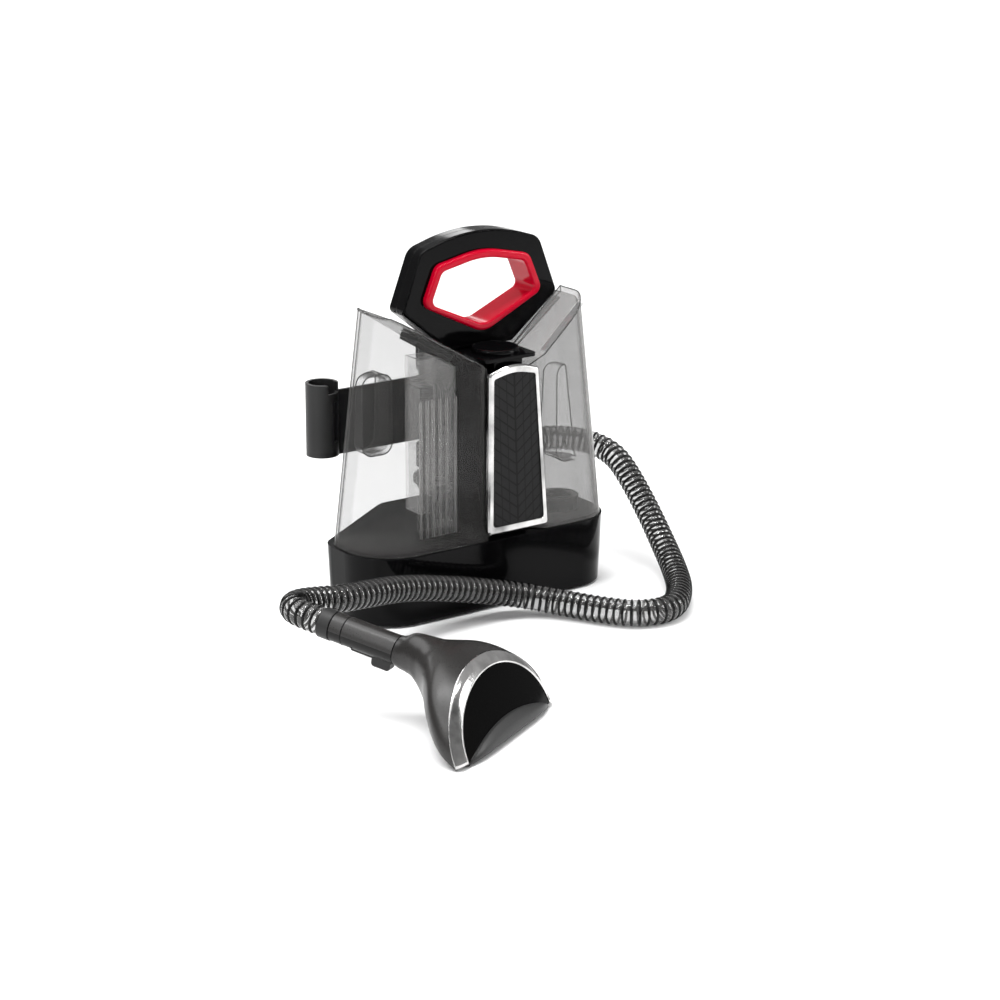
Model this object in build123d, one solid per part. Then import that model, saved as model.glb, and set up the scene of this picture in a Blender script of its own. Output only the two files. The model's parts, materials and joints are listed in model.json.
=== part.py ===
from build123d import *
import math
import os

# Two-tank portable spot extractor, millimetres. +Z up, +Y towards the back, X left to right.
# Drawn with Y = 0 at the front face; the written parts have their origin on the floor under the motor.

# ---- driving dimensions --------------------------------------------------------------------
WALL = 2.5              # moulded wall
GAP = 0.4               # clearance between bodies that come apart
FOOT_H = 2.5            # rubber feet
BASE_TOP = 68.0         # deck that the tanks stand on
SPINE_TOP = 235.0       # top of the centre column
COVER_T = 3.5           # cover plate on the column
HANDLE_Y = (60.0, 84.0)  # front and back faces of the carry handle
TANK_TOP = 288.0
BASE_LEFT, BASE_RIGHT, BASE_BACK = -160.0, 120.0, 160.0
SPINE_BACK = 134.0      # back face of the centre column
BADGE_LEAN = 2.9        # degrees that the badge leans back
MOTOR = (0.0, 78.0)     # plan place of the motor's axis
SHOULDER_L = 0.59       # slope of the dirty tank's shoulder
SHOULDER_R = 0.90       # slope of the clean tank's shoulder
HOSE_R = 12.5           # outer radius of the corrugated hose
HOSE_BORE = 9.0
PORT = (92.0, 146.0, 108.0)       # where the hose leaves its collar, heading +X
TOOL_AT = (-196.0, -264.0, 0.0)   # middle of the tool's mouth, on the floor
TOOL_YAW = 27.9                   # the tool's own X axis is turned this far from +X
NOZZLE_TILT = 22.0      # the nozzle's face leans back this far from upright
NOZZLE_HALF = 77.0      # half of the mouth's width
CUFF_LINE = ((166.0, 69.5), (104.0, 58.5))  # grip centre line in the tool's own Y and Z

# Plan corners (x, y, corner radius)
BASE_PLAN = [(BASE_LEFT, 0, 50), (BASE_RIGHT, 0, 42), (BASE_RIGHT, 84, 24), (50, BASE_BACK, 24),
             (-50, BASE_BACK, 24), (BASE_LEFT, 84, 20)]
SPINE_LOW = [(-16, 8, 2), (16, 8, 2), (25, 123, 3), (26, SPINE_BACK, 8), (-26, SPINE_BACK, 8), (-25, 123, 3)]
SPINE_HIGH = [(-16, 15, 2), (16, 15, 2), (25, 123, 3), (26, SPINE_BACK, 8), (-26, SPINE_BACK, 8), (-25, 123, 3)]
COVER_PLAN = [(-29, 11, 4), (29, 11, 4), (30.5, 60, 2), (30.5, SPINE_BACK, 8), (-30.5, SPINE_BACK, 8), (-30.5, 60, 2)]
DIRTY_LOW = [(-158, 2, 48), (-36, 2, 4), (-21, 13, 3), (-30, 123, 5), (-156, 81, 18)]
DIRTY_HIGH = [(-131, 9, 34), (-36, 9, 4), (-22, 20, 3), (-30, 118, 5), (-129, 77, 16)]
CLEAN_LOW = [(118, 2, 40), (36, 2, 4), (21, 13, 3), (30, 123, 5), (118, 82, 20)]
CLEAN_HIGH = [(90, 9, 26), (36, 9, 4), (22, 20, 3), (30, 118, 5), (90, 76, 14)]

# Front-view corners (x, z, corner radius)
HANDLE_FRONT = [(-36, 239, 2), (36, 239, 2), (88, 281, 6), (67, 336, 16), (0, 357, 160),
                (-67, 336, 16), (-88, 281, 6)]
HOLE_FRONT = [(0, 257, 20), (62, 286, 7), (49, 319, 10), (0, 329, 90), (-49, 319, 10), (-62, 286, 7)]
LIP_FRONT = [(0, 252.5, 23), (67.5, 285.5, 9), (52, 322.5, 12), (0, 333.5, 90), (-52, 322.5, 12), (-67.5, 285.5, 9)]
BORE_FRONT = [(0, 260.5, 19), (58.5, 286.5, 6.5), (46.3, 316, 9), (0, 325.8, 88), (-46.3, 316, 9), (-58.5, 286.5, 6.5)]

# Centre line of the free hose, from the collar to the tool's cuff. Each corner is rounded by an arc.
HOSE_ROUTE = [
    (92, 146, 108), (120, 146, 108), (150, 142, 107), (176, 125, 103), (188, 96, 94), (184, 64, 77),
    (177, 28, 55), (166, -10, 34), (151, -48, 19), (128, -86, 13.2), (90, -122, 12.6),
    (54, -114, 12.8), (32, -82, 12.6), (12, -46, 13.5), (-18, -22, 20), (-58, -19, 31),
    (-104, -21, 43), (-148, -27, 53), (-190, -40, 60), (-224, -48, 64), (-250, -49, 68),
    (-273, -55, 72), (-287, -70, 75), (-288.9, -88.6, 75.3), (-278.8, -107.7, 71.4),
]


# ---- helpers -------------------------------------------------------------------------------
def outline(corners):
    """Closed flat face through rounded corners (a, b, radius)."""
    line = FilletPolyline([(a, b) for a, b, _ in corners], radius=[r for _, _, r in corners], close=True)
    return make_face(line)


def grown(face, by):
    return offset(face, amount=by, kind=Kind.INTERSECTION)


def between(low_face, low_z, high_face, high_z):
    return loft([Pos(0, 0, low_z) * low_face, Pos(0, 0, high_z) * high_face], ruled=True)


def block(x, y, z):
    """Box from three (low, high) pairs."""
    size = [pair[1] - pair[0] for pair in (x, y, z)]
    middle = [(pair[0] + pair[1]) / 2 for pair in (x, y, z)]
    return Pos(*middle) * Box(*size)


def rod(radius, start, end):
    """Cylinder from one point to another."""
    a, b = Vector(*start), Vector(*end)
    plane = Plane(origin=a, z_dir=b - a)
    return plane * Cylinder(radius, (b - a).length, align=(Align.CENTER, Align.CENTER, Align.MIN))


def pipe(outer, inner, start, end):
    return rod(outer, start, end) - rod(inner, start, end)


def front_slab(corners, front, back, by=0.0):
    """Front-view outline given thickness from one Y to another."""
    face = outline(corners)
    if by:
        face = grown(face, by)
    return extrude(Plane.XZ.offset(-front) * face, amount=-(back - front))


def over_slope(side, start_x, start_z, slope, y=(-50, 250)):
    """Everything above a plane that rises away from the middle, side +1 right or -1 left."""
    near, far = -20, 260
    corners = [(side * (start_x + near), start_z + slope * near), (side * (start_x + far), start_z + slope * far),
               (side * (start_x + far), start_z + slope * far + 300), (side * (start_x + near), start_z + 300)]
    face = make_face(Polyline(*corners, close=True))
    return extrude(Plane.XZ.offset(-y[0]) * face, amount=-(y[1] - y[0]))


def screws(places, head_r, head_h, shank_r, length):
    """Pan-head screws: each place is (head point, unit direction that the screw is driven)."""
    group = []
    for (x, y, z), (dx, dy, dz) in places:
        seat = (x + dx * head_h, y + dy * head_h, z + dz * head_h)
        tip = (seat[0] + dx * length, seat[1] + dy * length, seat[2] + dz * length)
        driver = (x + dx * head_h * 0.5, y + dy * head_h * 0.5, z + dz * head_h * 0.5)
        group.append(rod(head_r, (x, y, z), seat) + rod(shank_r, seat, tip) - rod(shank_r * 0.8, (x, y, z), driver))
    return Compound(group)


def in_tool(shape):
    """From the tool's own frame (mouth at the origin, grip towards +Y) to its resting place."""
    return Pos(*TOOL_AT) * Rot(0, 0, TOOL_YAW) * shape


NODES = {}


def keep(name, shape):
    NODES[name] = shape


# ---- base ----------------------------------------------------------------------------------
BOSSES = [(-138, 40), (-120, 80), (-20, 20), (20, 20), (98, 40), (98, 80), (-36, 142), (36, 142)]
BASE_FLOOR_T = 3.0
base_face = outline(BASE_PLAN)
base_out = between(grown(base_face, -3), FOOT_H, base_face, BASE_TOP)
base_in = between(grown(base_face, -3 - WALL), FOOT_H, grown(base_face, -WALL), BASE_TOP - 3)
base_housing = base_out - base_in
for x, y in BOSSES:
    base_housing += rod(4.5, (x, y, FOOT_H + BASE_FLOOR_T), (x, y, BASE_TOP - 2))
    base_housing -= rod(1.7, (x, y, FOOT_H), (x, y, 34))
VALVE_AT = (80.0, 46.0)
DUCT_AT = (0.0, 106.0)
DUCT_R = 14.0
base_housing -= rod(9.0, (*VALVE_AT, BASE_TOP - 5), (*VALVE_AT, BASE_TOP + 1))
base_housing -= rod(DUCT_R, (*DUCT_AT, BASE_TOP - 5), (*DUCT_AT, BASE_TOP + 1))
keep("base_housing", base_housing)

floor_face = grown(base_face, -3 - WALL - 0.5)
base_floor = extrude(Pos(0, 0, FOOT_H) * floor_face, amount=BASE_FLOOR_T)
for x, y in BOSSES:
    base_floor -= rod(4.0, (x, y, FOOT_H), (x, y, FOOT_H + 1.8))
    base_floor -= rod(1.8, (x, y, FOOT_H), (x, y, FOOT_H + BASE_FLOOR_T))
for row in range(7):
    y = 52 + row * 7
    for side in (-1, 1):
        base_floor -= block(sorted((side * 13, side * 32)), (y, y + 3), (FOOT_H, FOOT_H + BASE_FLOOR_T))
keep("base_floor", base_floor)
keep("base_screws", screws([((x, y, FOOT_H + 0.2), (0, 0, 1)) for x, y in BOSSES], 3.4, 1.6, 1.5, 14))

FEET = [(-128, 26), (92, 26), (-34, 122), (34, 122), MOTOR]
keep("rubber_feet", Compound([rod(9, (x, y, 0), (x, y, FOOT_H)) for x, y in FEET]))

# ---- motor, fan and pump in the base --------------------------------------------------------
def on_motor(radius, low, high):
    return rod(radius, (*MOTOR, low), (*MOTOR, high))


fan_housing = on_motor(45, 6.2, 28) - on_motor(42.5, 8.7, 25.5) - on_motor(12, 5, 10)
fan_housing += block((28, 58), (92, 110), (8, 26)) - block((27, 59), (94.5, 107.5), (10.5, 23.5))
fan_housing -= on_motor(42.5, 8.7, 25.5)
fan_housing -= on_motor(7, 24, 30)
keep("fan_housing", fan_housing)
motor_can = on_motor(36, 28.2, 60) - on_motor(33.5, 28.2, 57.5)
motor_can = motor_can + on_motor(9, 57.5, 62) - on_motor(4.2, 54, 61)
keep("motor_can", motor_can)
keep("motor_mount", on_motor(12, 62, 65) - on_motor(5, 62, 63.5))
keep("motor_shaft", on_motor(4.1, 12, 60.5))
rotor = on_motor(24, 32, 52) - on_motor(4.12, 30, 54)
for step in range(12):
    slot = block((21, 26), (-1.2, 1.2), (31, 53))
    rotor -= Pos(*MOTOR, 0) * Rot(0, 0, 30 * step) * slot
keep("motor_rotor", rotor)
impeller = on_motor(39, 11, 12.5) + on_motor(9, 12.5, 22) - on_motor(4.12, 10, 23)
for step in range(9):
    blade = Pos(*MOTOR, 0) * Rot(0, 0, 40 * step) * Pos(0, 6, 0) * block((8, 38), (-1, 1), (12.5, 22))
    impeller += blade & on_motor(39, 11, 22)
keep("fan_impeller", impeller)

PUMP = (-82.0, 58.0)
pump_body = block((PUMP[0] - 22, PUMP[0] + 22), (PUMP[1] - 14, PUMP[1] + 14), (6.2, 40))
pump_body -= rod(7.0, (PUMP[0] - 23, PUMP[1], 23), (PUMP[0] + 16, PUMP[1], 23))
pump_body += pipe(4, 2, (PUMP[0] + 21, PUMP[1], 23), (PUMP[0] + 34, PUMP[1], 23))
keep("pump_body", pump_body)
keep("pump_plunger", rod(6.95, (PUMP[0] - 18, PUMP[1], 23), (PUMP[0] + 10, PUMP[1], 23)))

valve_seat = pipe(8.8, 6.6, (*VALVE_AT, 50), (*VALVE_AT, BASE_TOP))
valve_seat += rod(8.8, (*VALVE_AT, 50), (*VALVE_AT, 52.5))
valve_seat += rod(1.6, (*VALVE_AT, 52), (*VALVE_AT, BASE_TOP + 2.2))
keep("valve_seat", valve_seat)

# ---- centre column ---------------------------------------------------------------------------
SPLIT_Y = 62.0
COLUMN_LOW = BASE_TOP + 0.2
column = between(outline(SPINE_LOW), COLUMN_LOW, outline(SPINE_HIGH), SPINE_TOP)
column_in = between(grown(outline(SPINE_LOW), -WALL), COLUMN_LOW + WALL,
                    grown(outline(SPINE_HIGH), -WALL), SPINE_TOP + 1)
shell = column - column_in
front_half = block((-60, 60), (0, SPLIT_Y - 0.1), (60, 240))
back_half = block((-60, 60), (SPLIT_Y + 0.1, 170), (60, 240))
keep("column_front", shell & front_half)
column_back = shell & back_half
AIRWAY = (18.0, 5.0)    # x place and radius of the hole from the hose elbow into the column
column_back -= rod(AIRWAY[1], (AIRWAY[0], SPINE_BACK - 5, PORT[2]), (AIRWAY[0], SPINE_BACK + 1, PORT[2]))
GLAND = (-13.0, 92.0)
column_back -= rod(8.1, (GLAND[0], SPINE_BACK - 6, GLAND[1]), (GLAND[0], SPINE_BACK + 1, GLAND[1]))
column_back -= rod(DUCT_R, (*DUCT_AT, COLUMN_LOW - 1), (*DUCT_AT, COLUMN_LOW + 3))
HOOK_Z = (120.0, 205.0)
column_back -= rod(5.1, (0, SPINE_BACK - 10, HOOK_Z[1]), (0, SPINE_BACK + 1, HOOK_Z[1]))
CRADLE_SCREWS = [(-17, 150), (-17, 184)]
COVER_SCREWS = [(-21, 126), (21, 126), (-18, 100), (18, 100)]
for x, z in CRADLE_SCREWS:
    column_back -= rod(1.7, (x, SPINE_BACK - 4, z), (x, SPINE_BACK + 1, z))
for x, y in COVER_SCREWS:
    column_back += rod(3.4, (x, y, SPINE_TOP - 14), (x, y, SPINE_TOP))
for x, y in COVER_SCREWS:
    column_back -= rod(1.6, (x, y, SPINE_TOP - 12), (x, y, SPINE_TOP))
keep("column_back", column_back)

COVER_LOW = SPINE_TOP + 0.2
column_cover = extrude(Pos(0, 0, COVER_LOW) * outline(COVER_PLAN), amount=COVER_T)
BUTTON = (0.0, 37.0)
BUTTON_R = 22.0
column_cover -= rod(BUTTON_R + 0.6, (*BUTTON, 230), (*BUTTON, 245))
for x, y in COVER_SCREWS:
    column_cover -= rod(1.7, (x, y, 230), (x, y, 245))
keep("column_cover", column_cover)
COVER_TOP = COVER_LOW + COVER_T
keep("cover_screws", screws([((x, y, COVER_TOP + 1.6), (0, 0, -1)) for x, y in COVER_SCREWS], 3.2, 1.6, 1.4, 11))

BADGE_LOW, BADGE_H = 74.0, 156.0
BEZEL = [(-34.5, 0, 4), (34.5, 0, 4), (28, BADGE_H - 4, 4), (0, BADGE_H + 5, 60), (-28, BADGE_H - 4, 4)]
PANEL = [(-29, 7, 3), (29, 7, 3), (23.5, BADGE_H - 9, 3), (0, BADGE_H - 4, 50), (-23.5, BADGE_H - 9, 3)]


def badge_place(shape):
    return Pos(0, 0, BADGE_LOW) * Rot(-BADGE_LEAN, 0, 0) * shape


bezel = front_slab(BEZEL, -2.5, 2.0)
bezel = chamfer(bezel.faces().sort_by(Axis.Y)[0].edges(), 1.6)
bezel -= front_slab(PANEL, -3, 0.3)
bezel += block((-14, 14), (1.5, 6.5), (20, BADGE_H - 20))
keep("badge_bezel", badge_place(bezel))
keep("badge_panel", badge_place(front_slab(PANEL, -1.2, 0.2, -0.1)))

button = rod(BUTTON_R, (*BUTTON, 237.9), (*BUTTON, 243.4))
button = fillet(button.faces().sort_by(Axis.Z)[-1].edges(), 2.2)
button += rod(8, (*BUTTON, 226), (*BUTTON, 238))
button -= Pos(*BUTTON, 243.4 + 78.2) * Sphere(80)
keep("power_button", button)
switch = block((-9, 9), (BUTTON[1] - 12, BUTTON[1] + 12), (196, 222.5))
switch += block((-12, 12), (BUTTON[1] - 3, BUTTON[1] + 3), (196, 199))
keep("power_switch", switch)

# ---- carry handle ----------------------------------------------------------------------------
MID_Y = (HANDLE_Y[0] + HANDLE_Y[1]) / 2
HANDLE_LOW_GAP = COVER_TOP + 0.2 - 239
HANDLE_SCREWS = [(-30, 250), (30, 250), (-68, 290), (68, 290), (-57, 330), (57, 330)]


def handle_half(front, back, hollow_front, hollow_back):
    half = front_slab(HANDLE_FRONT, front, back)
    hollow = front_slab(HANDLE_FRONT, hollow_front, hollow_back, -WALL)
    half -= hollow - front_slab(HOLE_FRONT, hollow_front, hollow_back, WALL)
    half -= front_slab(HOLE_FRONT, front, back)
    return Pos(0, 0, HANDLE_LOW_GAP) * half


handle_front = handle_half(HANDLE_Y[0], MID_Y - 0.05, HANDLE_Y[0] + WALL, MID_Y)
handle_back = handle_half(MID_Y + 0.05, HANDLE_Y[1], MID_Y, HANDLE_Y[1] - WALL)
for x, z in HANDLE_SCREWS:
    handle_front += rod(2.9, (x, HANDLE_Y[0] + 1, z), (x, MID_Y - 0.05, z))
    handle_front -= rod(1.5, (x, HANDLE_Y[0] + 2.5, z), (x, MID_Y, z))
    handle_back += rod(3.8, (x, MID_Y + 0.05, z), (x, HANDLE_Y[1] - 1, z))
    handle_back -= rod(1.7, (x, MID_Y, z), (x, HANDLE_Y[1], z)) + rod(3.0, (x, MID_Y + 6, z), (x, HANDLE_Y[1], z))
front_edge = handle_front.faces().sort_by(Axis.Y)[0].outer_wire().edges()
handle_front = fillet(front_edge, 2.0)
back_edge = handle_back.faces().sort_by(Axis.Y)[-1].outer_wire().edges()
handle_back = fillet(back_edge, 2.0)
keep("handle_front", handle_front)
keep("handle_back", handle_back)
handle_places = [((x, MID_Y + 8, z), (0, -1, 0)) for x, z in HANDLE_SCREWS]
keep("handle_screws", screws(handle_places, 2.6, 1.8, 1.3, 13))

insert = front_slab(HOLE_FRONT, HANDLE_Y[0] - 1, HANDLE_Y[1] + 0.8, -0.05)
insert += front_slab(LIP_FRONT, HANDLE_Y[0] - 6, HANDLE_Y[0] - 0.05)
insert -= front_slab(BORE_FRONT, HANDLE_Y[0] - 7, HANDLE_Y[1] + 2)
insert = fillet(insert.faces().sort_by(Axis.Y)[0].outer_wire().edges(), 2.4)
insert = chamfer(insert.faces().sort_by(Axis.Y)[0].inner_wires()[0].edges(), 1.5)
keep("handle_insert", Pos(0, 0, HANDLE_LOW_GAP) * insert)

# ---- tanks -----------------------------------------------------------------------------------
TANK_LOW = BASE_TOP + GAP
TANK_WALL = 2.4


def tank_solid(low_plan, high_plan, shrink, side, slope, drop):
    """Tapered tank body cut by its sloping shoulder; shrink and drop make the inner form."""
    low_face, high_face = outline(low_plan), outline(high_plan)
    low_z = TANK_LOW
    if shrink:
        low_face, high_face = grown(low_face, -shrink), grown(high_face, -shrink)
        low_z = TANK_LOW + TANK_WALL
    body = between(low_face, low_z, high_face, TANK_TOP - drop)
    body -= over_slope(side, 34, SPINE_TOP - drop, slope)
    behind_handle = (HANDLE_Y[0] - 2 - drop * 0.8, 200)
    return body - over_slope(side, 34, SPINE_TOP - 1.5 - drop, 0.8, behind_handle)


def tank(low_plan, high_plan, side, slope, recess):
    outer = tank_solid(low_plan, high_plan, 0, side, slope, 0)
    inner = tank_solid(low_plan, high_plan, TANK_WALL, side, slope, TANK_WALL)
    grip = block(*recess)
    grip = fillet(grip.edges().filter_by(Axis.Y), 9)
    wider = [(a - TANK_WALL, b + TANK_WALL) for a, b in recess]
    inner -= fillet(block(*wider).edges().filter_by(Axis.Y), 11)
    return outer - inner - grip


# finger recesses: in the dirty tank's rear wall, and on the clean tank's outer end at the back
dirty_shell = tank(DIRTY_LOW, DIRTY_HIGH, -1, SHOULDER_L, ((-124, -96), (72, 130), (150, 222)))
clean_shell = tank(CLEAN_LOW, CLEAN_HIGH, 1, SHOULDER_R, ((91, 140), (62, 100), (112, 205)))

# dirty tank: lid and inlet separator hang from the shoulder
SHOULDER_ANGLE = math.degrees(math.atan(SHOULDER_L))


def on_shoulder(along, across, lift):
    """Place on the dirty tank's shoulder: along it outwards, across it in Y, lift above it."""
    x = -34 - along * math.cos(math.radians(SHOULDER_ANGLE))
    z = SPINE_TOP + along * math.sin(math.radians(SHOULDER_ANGLE))
    return Pos(x, across, z) * Rot(0, SHOULDER_ANGLE, 0) * Pos(0, 0, lift)


LID_AT, LID_Y = 46.0, 38.0
dirty_shell -= on_shoulder(LID_AT, LID_Y, -6) * Box(44, 30, 14)
keep("dirty_tank_shell", dirty_shell)
lid = on_shoulder(LID_AT, LID_Y, -4.4) * Box(43, 29, 5)
lid -= on_shoulder(LID_AT, LID_Y, -4.4) * Box(16, 12, 8)
lid = fillet(lid.edges().filter_by(Axis.Y), 0.8)
keep("dirty_tank_lid", lid)
gasket = on_shoulder(LID_AT, LID_Y, -8.2) * (Box(42, 28, 2.4) - Box(36, 22, 4))
keep("lid_gasket", gasket)

STACK_X, STACK_Y = (-92.0, -52.0), (26.0, 50.0)
stack = block(STACK_X, STACK_Y, (74, 245)) - block((-90, -54), (28, 48), (73, 246))
stack += block((-73, -71), (28, 48), (110, 245))
stack -= over_slope(-1, 34, SPINE_TOP - 12.5, SHOULDER_L)
stack -= block((-100, -80), (20, 60), (70, 98))
stack -= block((-54, -50), (30, 46), (74, 84))
stack += block((-71.2, -53.5), (27.5, 48.5), (122, 124)) - rod(7.4, (-62.5, 38, 120), (-62.5, 38, 126))
keep("separator_stack", stack)
ball_float = rod(7.6, (-62.5, 38, 88), (-62.5, 38, 104)) + rod(3.0, (-62.5, 38, 104), (-62.5, 38, 118))
keep("float_valve", ball_float)
duct_plates = block((-88, -75), (29, 47), (216, 218)) + block((-88, -75), (29, 31), (206, 216))
keep("inlet_deflector", duct_plates)

# clean tank: bayonet cap in a recess of its floor, with a sprung valve in the cap
CAP_R, RECESS_H = 17.0, 12.0
recess_out = rod(CAP_R + 3.2, (*VALVE_AT, TANK_LOW), (*VALVE_AT, TANK_LOW + RECESS_H + 2.4))
recess_in = rod(CAP_R + 0.6, (*VALVE_AT, TANK_LOW - 1), (*VALVE_AT, TANK_LOW + RECESS_H))
clean_shell = clean_shell + recess_out - recess_in
clean_shell -= rod(12.5, (*VALVE_AT, TANK_LOW), (*VALVE_AT, TANK_LOW + RECESS_H + 4))
keep("clean_tank_shell", clean_shell)
CAP_LOW = TANK_LOW + 0.3
cap = rod(CAP_R, (*VALVE_AT, CAP_LOW), (*VALVE_AT, CAP_LOW + 8))
cap += rod(11.8, (*VALVE_AT, CAP_LOW + 8), (*VALVE_AT, CAP_LOW + 16))
cap -= rod(9.0, (*VALVE_AT, CAP_LOW + 6.5), (*VALVE_AT, CAP_LOW + 17))
cap -= rod(4.2, (*VALVE_AT, CAP_LOW - 1), (*VALVE_AT, CAP_LOW + 8))
cap -= rod(7.0, (*VALVE_AT, CAP_LOW - 1), (*VALVE_AT, CAP_LOW + 3))
for turn in range(12):
    notch = Pos(*VALVE_AT, 0) * Rot(0, 0, 30 * turn) * rod(1.6, (CAP_R, 0, CAP_LOW - 1), (CAP_R, 0, CAP_LOW + 5))
    cap -= notch
keep("clean_tank_cap", cap)
keep("cap_seal", pipe(CAP_R - 0.5, 12.8, (*VALVE_AT, CAP_LOW + 8.05), (*VALVE_AT, TANK_LOW + RECESS_H - 0.6)))
valve = rod(4.12, (*VALVE_AT, CAP_LOW + 4.2), (*VALVE_AT, CAP_LOW + 7)) + rod(
    7.5, (*VALVE_AT, CAP_LOW + 7), (*VALVE_AT, CAP_LOW + 10))
keep("cap_valve", valve)

# ---- rear: hose port, cord inlet, cord hooks, tool cradle ------------------------------------
elbow = block((13, 50), (SPINE_BACK + 0.2, 159), (90, 126))
elbow = fillet(elbow.edges().filter_by(Axis.Z).sort_by(Axis.Y)[-2:], 6)
elbow -= block((15.5, 47.5), (SPINE_BACK + 2.7, 156.5), (92.5, 123.5))
elbow -= rod(AIRWAY[1], (AIRWAY[0] + 0.5, SPINE_BACK - 1, PORT[2]), (AIRWAY[0] + 0.5, SPINE_BACK + 4, PORT[2]))
port = elbow + pipe(13.2, 10.2, (49, PORT[1], PORT[2]), (78, PORT[1], PORT[2]))
port -= rod(10.2, (46, PORT[1], PORT[2]), (52, PORT[1], PORT[2]))
keep("hose_port", port)
collar = pipe(16.0, 13.5, (60, PORT[1], PORT[2]), (PORT[0] - 3, PORT[1], PORT[2]))
collar += pipe(14.5, HOSE_BORE, (PORT[0] - 3, PORT[1], PORT[2]), PORT)
for step in range(10):
    ridge = Rot(36 * step, 0, 0) * block((64, 86), (-1.2, 1.2), (15.4, 17.0))
    collar += Pos(0, PORT[1], PORT[2]) * ridge
keep("hose_collar", collar)

def gland_pipe(radius, start, end):
    return pipe(radius, 4.0, (GLAND[0], SPINE_BACK + start, GLAND[1]), (GLAND[0], SPINE_BACK + end, GLAND[1]))


cord_gland = gland_pipe(8.0, -4, 12) + gland_pipe(10.5, 0.2, 3)
keep("cord_gland", cord_gland)


HOOK_BACK = SPINE_BACK + 24
lower_hook = block((-9, 9), (SPINE_BACK, HOOK_BACK), (HOOK_Z[0] - 4, HOOK_Z[0] + 4))
lower_hook += block((-9, 9), (HOOK_BACK - 4, HOOK_BACK), (HOOK_Z[0] - 22, HOOK_Z[0] + 4))
keep("cord_hook_lower", fillet(lower_hook.edges().filter_by(Axis.Y), 2.0))
turning = block((-9, 9), (SPINE_BACK + 0.6, HOOK_BACK), (HOOK_Z[1] - 9, HOOK_Z[1] + 9))
turning += block((-9, 9), (HOOK_BACK - 4, HOOK_BACK), (HOOK_Z[1] - 9, HOOK_Z[1] + 22))
turning = fillet(turning.edges().filter_by(Axis.Y), 3.0)
turning += rod(5.04, (0, SPINE_BACK - 6, HOOK_Z[1]), (0, SPINE_BACK + 1, HOOK_Z[1]))
keep("cord_hook_upper", turning)

CUP = (-132.0, 131.0)
CUP_Z = (138.0, 208.0)
cup = pipe(15.5, 12.5, (*CUP, CUP_Z[0]), (*CUP, CUP_Z[1]))
cup += rod(15.5, (*CUP, CUP_Z[0]), (*CUP, CUP_Z[0] + 3)) - rod(7, (*CUP, CUP_Z[0]), (*CUP, CUP_Z[0] + 3))
cup -= Pos(*CUP, 0) * Rot(0, 0, -62) * block((8, 20), (-4, 4), (152, 191))
cup -= Pos(*CUP, 0) * Rot(0, 0, -62) * block((8, 20), (-9, 9), (199, 209))
PLATE_Y = (SPINE_BACK + 0.2, SPINE_BACK + 3.2)
plate = block((-119, -10.5), PLATE_Y, (134, 197))
plate = fillet(plate.edges().filter_by(Axis.Y), 4)
cradle = cup + (plate - rod(13, (*CUP, 130), (*CUP, 215)))
for x, z in CRADLE_SCREWS:
    cradle -= rod(1.7, (x, PLATE_Y[0] - 1, z), (x, PLATE_Y[1] + 1, z))
keep("tool_cradle", cradle)
keep("cradle_screws", screws([((x, PLATE_Y[1] + 1.7, z), (0, -1, 0)) for x, z in CRADLE_SCREWS], 3.2, 1.6, 1.4, 10))

exhaust = block((-24, 24), (0, 2.4), (0, 22))
for slot in range(5):
    z = 3 + slot * 3.6
    exhaust -= block((-21, 21), (-1, 4), (z, z + 1.8))
keep("exhaust_grille", Pos(0, BASE_BACK + 0.1, 34) * exhaust)

# ---- free hose -------------------------------------------------------------------------------
route = [Vector(*p) for p in HOSE_ROUTE]
runs = [(b - a).length for a, b in zip(route, route[1:])]
radii = []
for index in range(1, len(route) - 1):
    turn = (route[index] - route[index - 1]).get_angle(route[index + 1] - route[index])
    shorter = min(runs[index - 1], runs[index])
    radii.append(0.45 * shorter / math.tan(math.radians(turn) / 2))
path = FilletPolyline(route, radius=radii)
start_plane = Plane(origin=route[0], z_dir=route[1] - route[0])
hose = sweep(start_plane * Circle(HOSE_R), path=path)
keep("hose", hose)
print("hose arc radii", [round(r) for r in radii])
print("hose runs", [round(r) for r in runs], "length", round(path.length))
print("hose volume over section times length", hose.volume / (math.pi * HOSE_R**2 * path.length))

# ---- hand tool, in its own frame: mouth on the floor at y = 0, grip towards +Y ---------------
GRIP_R = 12.6
cuff_back = Vector(0, *CUFF_LINE[0])
cuff_step = (Vector(0, *CUFF_LINE[1]) - cuff_back).normalized()


def grip_rod(radius, start, end):
    """Cylinder along the grip's centre line, from one distance to another, cuff end at 0."""
    a, b = cuff_back + cuff_step * start, cuff_back + cuff_step * end
    return rod(radius, tuple(a), tuple(b))


GRIP_LEN = (Vector(0, *CUFF_LINE[1]) - cuff_back).length
cuff = grip_rod(13.2, -11, -0.2) - grip_rod(HOSE_BORE, -12, 1)
keep("hose_cuff", in_tool(cuff))
grip = grip_rod(GRIP_R, 0, GRIP_LEN) - grip_rod(GRIP_R - WALL, 0, GRIP_LEN)
GRIP_PITCH = math.degrees(math.atan2(-cuff_step.Z, -cuff_step.Y))


def on_grip(along, side, down):
    """Place in the grip's frame: along from the cuff, side in X, down below the centre line."""
    at = cuff_back + cuff_step * along
    return Pos(*at) * Rot(GRIP_PITCH, 0, 0) * Pos(side, 0, -down)


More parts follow.
